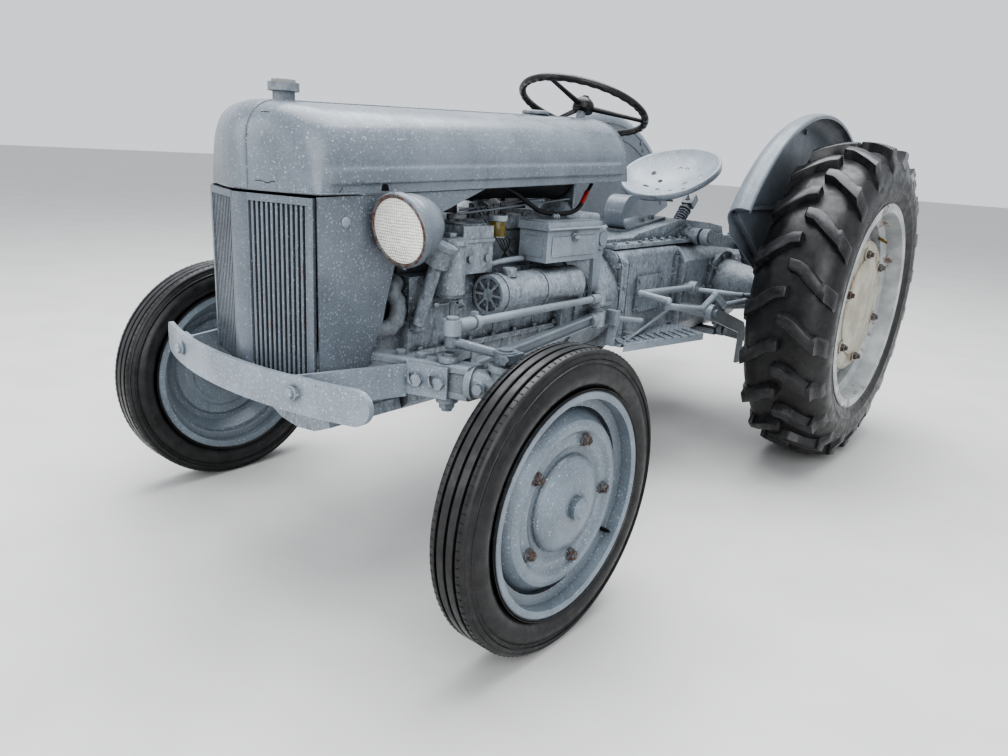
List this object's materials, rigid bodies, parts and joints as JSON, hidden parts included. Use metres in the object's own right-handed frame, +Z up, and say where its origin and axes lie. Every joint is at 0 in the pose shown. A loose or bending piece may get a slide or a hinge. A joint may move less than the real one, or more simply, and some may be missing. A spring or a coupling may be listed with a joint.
{
  "type": "vintage utility farm tractor",
  "caption": "Small vintage farm tractor with swept front axle, steered front wheels, lugged rear tyres, hood and grille, pan seat and rear lift linkage.",
  "frame": {"origin": "on the ground, in the middle of the overall length and width", "axes": "+Z up, the nose points to -Y, the driver's left is +X"},
  "size_m": [1.6258, 2.9359, 1.3137],
  "materials": {
    "grey_paint": "satin, speckled with pale drops",
    "hood_paint": "satin, speckled with pale drops",
    "cast_paint": "painted rough casting",
    "light_grey_paint": "satin",
    "wheel_paint": "satin, speckled",
    "rear_wheel_paint": "old cream paint on the disc",
    "tyre_rubber": "matt black rubber",
    "black_rim": "hard black rubber",
    "black_paint": "matt black",
    "lamp_glass": "clear pressed glass"
  },
  "bodies": {
    "chassis": {"front_bolster": "grey_paint", "radiator": "grey_paint", "engine": "cast_paint", "engine_side_box": "grey_paint", "oil_fittings": "grey_paint", "starter_and_generator": "grey_paint", "manifold": "cast_paint", "air_cleaner": "grey_paint", "toolbox": "grey_paint", "fuel_tank": "black_paint", "steering_column": "grey_paint", "hood": "hood_paint", "grille": "grey_paint", "side_panels": "grey_paint", "headlights": "grey_paint", "bumper": "grey_paint", "front_axle": "grey_paint", "radius_rods": "grey_paint", "gearbox": "cast_paint", "rear_housing": "cast_paint", "lift_cover": "grey_paint", "seat_spring": "grey_paint", "seat": "grey_paint", "steps_and_pedals": "grey_paint", "fenders": "grey_paint"},
    "fan": {"fan": "grey_paint"},
    "toolbox_lid": {"toolbox_lid": "grey_paint"},
    "steering_wheel": {"steering_wheel": "black_rim"},
    "lift_arms": {"lift_arms": "grey_paint"},
    "lift_rods": {"lift_rods": "light_grey_paint"},
    "lower_links": {"lower_links": "grey_paint"},
    "spindle_left": {"spindle_left": "grey_paint"},
    "front_wheel_left": {"front_wheel_left": "wheel_paint", "front_tyre_left": "tyre_rubber"},
    "rear_wheel_left": {"rear_wheel_left": "rear_wheel_paint", "rear_tyre_left": "tyre_rubber"},
    "drop_arm_left": {"drop_arm_left": "grey_paint"},
    "drag_link_left": {"drag_link_left": "light_grey_paint"},
    "spindle_right": {"spindle_right": "grey_paint"},
    "front_wheel_right": {"front_wheel_right": "wheel_paint", "front_tyre_right": "tyre_rubber"},
    "rear_wheel_right": {"rear_wheel_right": "rear_wheel_paint", "rear_tyre_right": "tyre_rubber"},
    "drop_arm_right": {"drop_arm_right": "grey_paint"},
    "drag_link_right": {"drag_link_right": "light_grey_paint"}
  },
  "joints": [
    {"name": "steer_left", "type": "hinge", "parent": "chassis", "child": "spindle_left", "pos_m": [0.5, -1.07602, 0.56], "axis": [0, 0, 1], "range_deg": [-40, 40]},
    {"name": "front_wheel_left_spin", "type": "hinge", "parent": "spindle_left", "child": "front_wheel_left", "pos_m": [0.663, -1.07602, 0.344], "axis": [1, 0, 0], "continuous": true},
    {"name": "rear_wheel_left_spin", "type": "hinge", "parent": "chassis", "child": "rear_wheel_left", "pos_m": [0.665, 0.70198, 0.592], "axis": [1, 0, 0], "continuous": true},
    {"name": "drop_arm_left_swing", "type": "hinge", "parent": "chassis", "child": "drop_arm_left", "pos_m": [0.1963, -0.29102, 0.826], "axis": [1, 0, 0], "range_deg": [-27.18, 27.18]},
    {"name": "drag_link_left_swing", "type": "hinge", "parent": "spindle_left", "child": "drag_link_left", "pos_m": [0.37, -1.11533, 0.682], "axis": [0, 0, 1], "range_deg": [-41, 41]},
    {"name": "steer_right", "type": "hinge", "parent": "chassis", "child": "spindle_right", "pos_m": [-0.5, -1.07602, 0.56], "axis": [0, 0, 1], "range_deg": [-40, 40]},
    {"name": "front_wheel_right_spin", "type": "hinge", "parent": "spindle_right", "child": "front_wheel_right", "pos_m": [-0.663, -1.07602, 0.344], "axis": [1, 0, 0], "continuous": true},
    {"name": "rear_wheel_right_spin", "type": "hinge", "parent": "chassis", "child": "rear_wheel_right", "pos_m": [-0.665, 0.70198, 0.592], "axis": [1, 0, 0], "continuous": true},
    {"name": "drop_arm_right_swing", "type": "hinge", "parent": "chassis", "child": "drop_arm_right", "pos_m": [-0.1963, -0.29102, 0.826], "axis": [1, 0, 0], "range_deg": [-27.18, 27.18]},
    {"name": "drag_link_right_swing", "type": "hinge", "parent": "spindle_right", "child": "drag_link_right", "pos_m": [-0.37, -1.11533, 0.682], "axis": [0, 0, 1], "range_deg": [-41, 41]},
    {"name": "steering_wheel_turn", "type": "hinge", "parent": "chassis", "child": "steering_wheel", "pos_m": [0, -0.14002, 1.228], "axis": [0, 0.342, 0.9397], "range_deg": [-455, 455]},
    {"name": "lift", "type": "hinge", "parent": "chassis", "child": "lift_arms", "pos_m": [0, 0.48198, 0.795], "axis": [1, 0, 0], "range_deg": [0, 56]},
    {"name": "lower_link_swing", "type": "hinge", "parent": "chassis", "child": "lower_links", "pos_m": [0, 0.70198, 0.4], "axis": [1, 0, 0], "range_deg": [0, 45.28]},
    {"name": "lift_rod_swing", "type": "hinge", "parent": "lift_arms", "child": "lift_rods", "pos_m": [0, 0.75926, 0.75603], "axis": [1, 0, 0], "range_deg": [-49.57, 0]},
    {"name": "fan_spin", "type": "hinge", "parent": "chassis", "child": "fan", "pos_m": [0, -1.07602, 0.866], "axis": [0, 1, 0], "continuous": true},
    {"name": "toolbox_lid_open", "type": "hinge", "parent": "chassis", "child": "toolbox_lid", "pos_m": [0.146, -0.61802, 0.864], "axis": [0, 1, 0], "range_deg": [-34, 0]}
  ],
  "couplings": [
    {"joint": "steer_right", "follows": "steer_left", "ratio": 1},
    {"joint": "drop_arm_left_swing", "follows": "steer_left", "ratio": -0.667},
    {"joint": "drop_arm_right_swing", "follows": "steer_left", "ratio": 0.667},
    {"joint": "drag_link_left_swing", "follows": "steer_left", "ratio": -0.956},
    {"joint": "drag_link_right_swing", "follows": "steer_left", "ratio": -0.956},
    {"joint": "steering_wheel_turn", "follows": "steer_left", "ratio": 11.25},
    {"joint": "lower_link_swing", "follows": "lift", "ratio": 0.7996},
    {"joint": "lift_rod_swing", "follows": "lift", "ratio": -0.8763}
  ]
}
